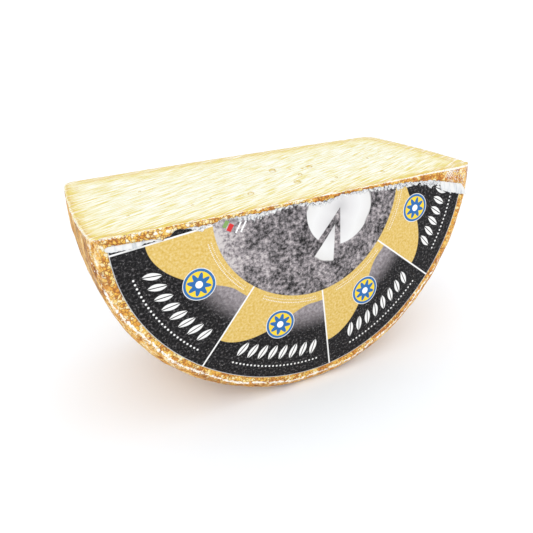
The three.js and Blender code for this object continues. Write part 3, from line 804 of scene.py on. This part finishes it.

    # Wear, and the bare fibres along the tear, greyed by painted shade and with dark flecks of ink left on
    # them.
    scuff = add(tree, "TexNoise", {"Vector": plane, "Scale": 1 / 0.9, "Detail": 4.0, "Roughness": 0.7})
    scuffs = add(tree, "MapRange", {0: scuff, 1: 0.62, 2: 0.72, 4: 0.5})
    worn = add(tree, "Mix", {0: scuffs, 6: whole, 7: paint("#DAD7D2")}, data_type="RGBA")
    teeth = add(tree, "TexNoise", {"Vector": plane, "Scale": 1 / 1.9, "Detail": 4.0, "Roughness": 0.7})
    ragged = add(tree, "Math", {0: teeth, 1: 8.0, 2: torn}, operation="MULTIPLY_ADD")
    bare = add(tree, "MapRange", {0: ragged, 1: 3.9, 2: 4.15})
    torn_ink_and_painted_shade = add(tree, "Math", {0: scuff, 1: teeth}, operation="ADD")
    halved = add(tree, "Math", {0: torn_ink_and_painted_shade, 1: 0.5}, operation="MULTIPLY")
    # The fibre colours mix dark flecks of ink left on the tear with grey painted shade between the white
    # fibres.
    fibre = add(tree, "ValToRGB", {0: halved}, stops=(
        (0.39, "#2C2C2E"), (0.6, "#E4E3E0"), (0.445, "#7A7B7F"), (0.485, "#C2C3C5")))
    colour = add(tree, "Mix", {0: bare, 6: worn, 7: fibre}, data_type="RGBA")
    gloss = add(tree, "MapRange", {0: bare, 3: 0.46, 4: 0.85})
    rough = add(tree, "Math", {0: scuffs, 1: 0.4, 2: gloss}, operation="MULTIPLY_ADD")
    depth = add(tree, "Math", {0: scuff, 1: bare}, operation="MULTIPLY")
    skin = add(tree, "Math", {0: fleck, 1: 0.12, 2: depth}, operation="MULTIPLY_ADD")
    bump = add(tree, "Bump", {"Height": skin, "Strength": 0.8, "Distance": 0.4 * MM})
    surface = add(tree, "BsdfPrincipled", {
        "Base Color": colour, "Normal": bump, "Roughness": rough, "IOR": 1.45, "Specular IOR Level": 0.1})
    add(tree, "OutputMaterial", {0: surface})
    return material


front, back = label_grids()
points, faces = closed_sheet(front, back)
label = mesh_object("paper_label", points, faces, (printed_label(),))
x, z = points[:, 0], points[:, 2] - LABEL_ABOVE_CENTRE
round_share = roundness(np.arctan2(z, x), -HALF_THICKNESS)
bare_height = points[:, 2] - print_line(x)
bare_height[len(points) // 2:] = 5.0
vector_attribute(label, "print_place", np.stack([x / round_share, z / round_share, bare_height], 1))
smooth(label)
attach(label, "root")
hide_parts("label")


# --------------------------------------------------
# The turned-over paper at both ends of the tear. Real pieces: strips of the label that the knife pulled
# up and folded down over the print. Material: the label's own uncoated white back, creased and curled.
# --------------------------------------------------
def uncoated_paper():
    """Bare paper back: soft white with a cool cast, faint creases across the strip with cool grey painted
    shade along them, fully matt.
    """
    material, tree = new_material("uncoated_label_paper_back")
    flat = millimetres(tree)
    long_lines = add(tree, "VectorMath", {0: flat, 1: (1 / 1.7, 0.2, 0.12)}, operation="MULTIPLY")
    crease_and_painted_shade = add(tree, "TexNoise", {"Vector": long_lines, "Scale": 1.0, "Detail": 3.0})
    # The greyer colours along the creases are painted shade; the same crease pattern also drives the bump.
    colour = add(tree, "ValToRGB", {0: crease_and_painted_shade}, stops=(
        (0.3, "#B4B7BA"), (0.68, "#DCDAD6"), (0.4, "#CBCDCE"), (0.48, "#D5D5D4")))
    fibre = add(tree, "TexNoise", {"Vector": flat, "Scale": 1 / 0.5, "Detail": 2.0})
    skin = add(tree, "Math", {0: fibre, 1: 0.2, 2: crease_and_painted_shade}, operation="MULTIPLY_ADD")
    bump = add(tree, "Bump", {"Height": skin, "Strength": 0.5, "Distance": 0.3 * MM})
    surface = add(tree, "BsdfPrincipled", {
        "Base Color": colour, "Normal": bump, "Roughness": 0.85, "IOR": 1.45})
    add(tree, "OutputMaterial", {0: surface})
    return material


def folded_strip(name, start, end, reach, lift, lean, cap):
    """A strip folded down over the label from its torn edge, from one place along it to another."""
    u = np.linspace(0.0, 1.0, 73)[None, :]
    v = np.linspace(0.0, 1.0, 19)[:, None]
    along = start + (end - start) * u
    blunt = np.sqrt(np.clip(1.0 - (1.0 - np.clip(u / cap, 0.0, 1.0)) ** 2, 0.02, 1.0))
    length = np.interp(u, *reach) * blunt
    ragged = 0.25 * np.sin(1.9 * along) * np.cos(0.8 * along + 2.0) * v
    top = torn_line(along) + 0.1 - (1.0 - blunt) * reach[1][0] / 2
    x = along + lean * u * v
    z = top - v * length + ragged
    flat = np.stack([x, 0.0 * z, z], 2).reshape(-1, 3)
    crumple = grain(flat, 3.2, 41.0).reshape(z.shape)
    curl = 1.0 - 0.4 * np.cos(2.0 * math.pi * u)
    rise = lift * curl * np.sin(0.8 * math.pi * v) + 0.16 * crumple * v
    turn = np.sin(0.5 * math.pi * np.clip(v / 0.16, 0.0, 1.0))
    low = front_face(x, z) - GLUE - PAPER - 0.12 - np.maximum(0.3 * turn + rise * turn, 0.0)
    return closed_sheet(np.stack([x, low - 0.2, z], 2), np.stack([x, low, z], 2))


paper_back = uncoated_paper()
for name, strip in (
    ("folded_strip_left", (-106.4, -80.5, ((0.0, 0.55, 0.7, 1.0), (2.7, 2.6, 1.1, 0.4)), 0.55, 0.0, 0.09)),
    ("folded_strip_right", (86.0, 103.2, ((0.0, 1.0), (5.4, 7.6)), 0.8, 4.6, 0.1)),
):
    points, faces = folded_strip(name, *strip)
    flap = mesh_object(name, points, faces, (paper_back,))
    smooth(flap)
    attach(flap, "root")
    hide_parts("label")


# --------------------------------------------------
# The studio: a pale floor, soft light from the upper left and a camera at the picture's own angle.
# --------------------------------------------------
CAMERA_PLACE = (-134.0, -297.2, 203.5)
VIEW_AZIMUTH = 23.75
VIEW_DROP = 24.42
VIEW_ROLL = -3.28
FOCAL_PIXELS = 558.6
PICTURE_PIXELS = 533

camera_data = bpy.data.cameras.new("camera")
camera_data.sensor_width = 36.0
camera_data.lens = FOCAL_PIXELS / PICTURE_PIXELS * camera_data.sensor_width
camera = new_object("camera", camera_data)
camera.location = Vector(CAMERA_PLACE) * MM
azimuth, drop = math.radians(VIEW_AZIMUTH), math.radians(VIEW_DROP)
aim = Vector((math.sin(azimuth) * math.cos(drop), math.cos(azimuth) * math.cos(drop), -math.sin(drop)))
camera.rotation_mode = "QUATERNION"
roll = Quaternion((0.0, 0.0, 1.0), math.radians(VIEW_ROLL))
camera.rotation_quaternion = aim.to_track_quat("-Z", "Y") @ roll
bpy.context.scene.camera = camera

floor_mesh = bpy.data.meshes.new("floor")
floor_mesh.from_pydata([(-60, -60, 0), (60, -60, 0), (60, 60, 0), (-60, 60, 0)], [], [(0, 1, 2, 3)])
floor = new_object("floor", floor_mesh)
floor_paint, floor_tree = new_material("matt_white_paper")
floor_surface = add(floor_tree, "BsdfPrincipled", {"Base Color": paint("#F6FAFF"), "Roughness": 0.9})
add(floor_tree, "OutputMaterial", {0: floor_surface})
floor_mesh.materials.append(floor_paint)

world = bpy.data.worlds.new("studio")
bpy.context.scene.world = world
world.use_nodes = True
world.node_tree.nodes.clear()
sky = add(world.node_tree, "Background", {0: (1.0, 1.0, 1.0, 1.0), 1: 1.1})
add(world.node_tree, "OutputWorld", {0: sky})


def soft_light(name, place, target, size, watts):
    lamp = bpy.data.lights.new(name, "AREA")
    lamp.shape, lamp.size, lamp.energy = "DISK", size, watts
    made = new_object(name, lamp)
    made.location = place
    made.rotation_mode = "QUATERNION"
    made.rotation_quaternion = (Vector(target) - Vector(place)).to_track_quat("-Z", "Y")


soft_light("key_light", (-0.7, -0.9, 1.1), (0, 0, 0.08), 0.7, 3)
soft_light("fill_light", (0.2, -1.2, 0.3), (0, 0, 0.04), 0.9, 3)
bpy.context.scene.view_settings.view_transform = "Standard"
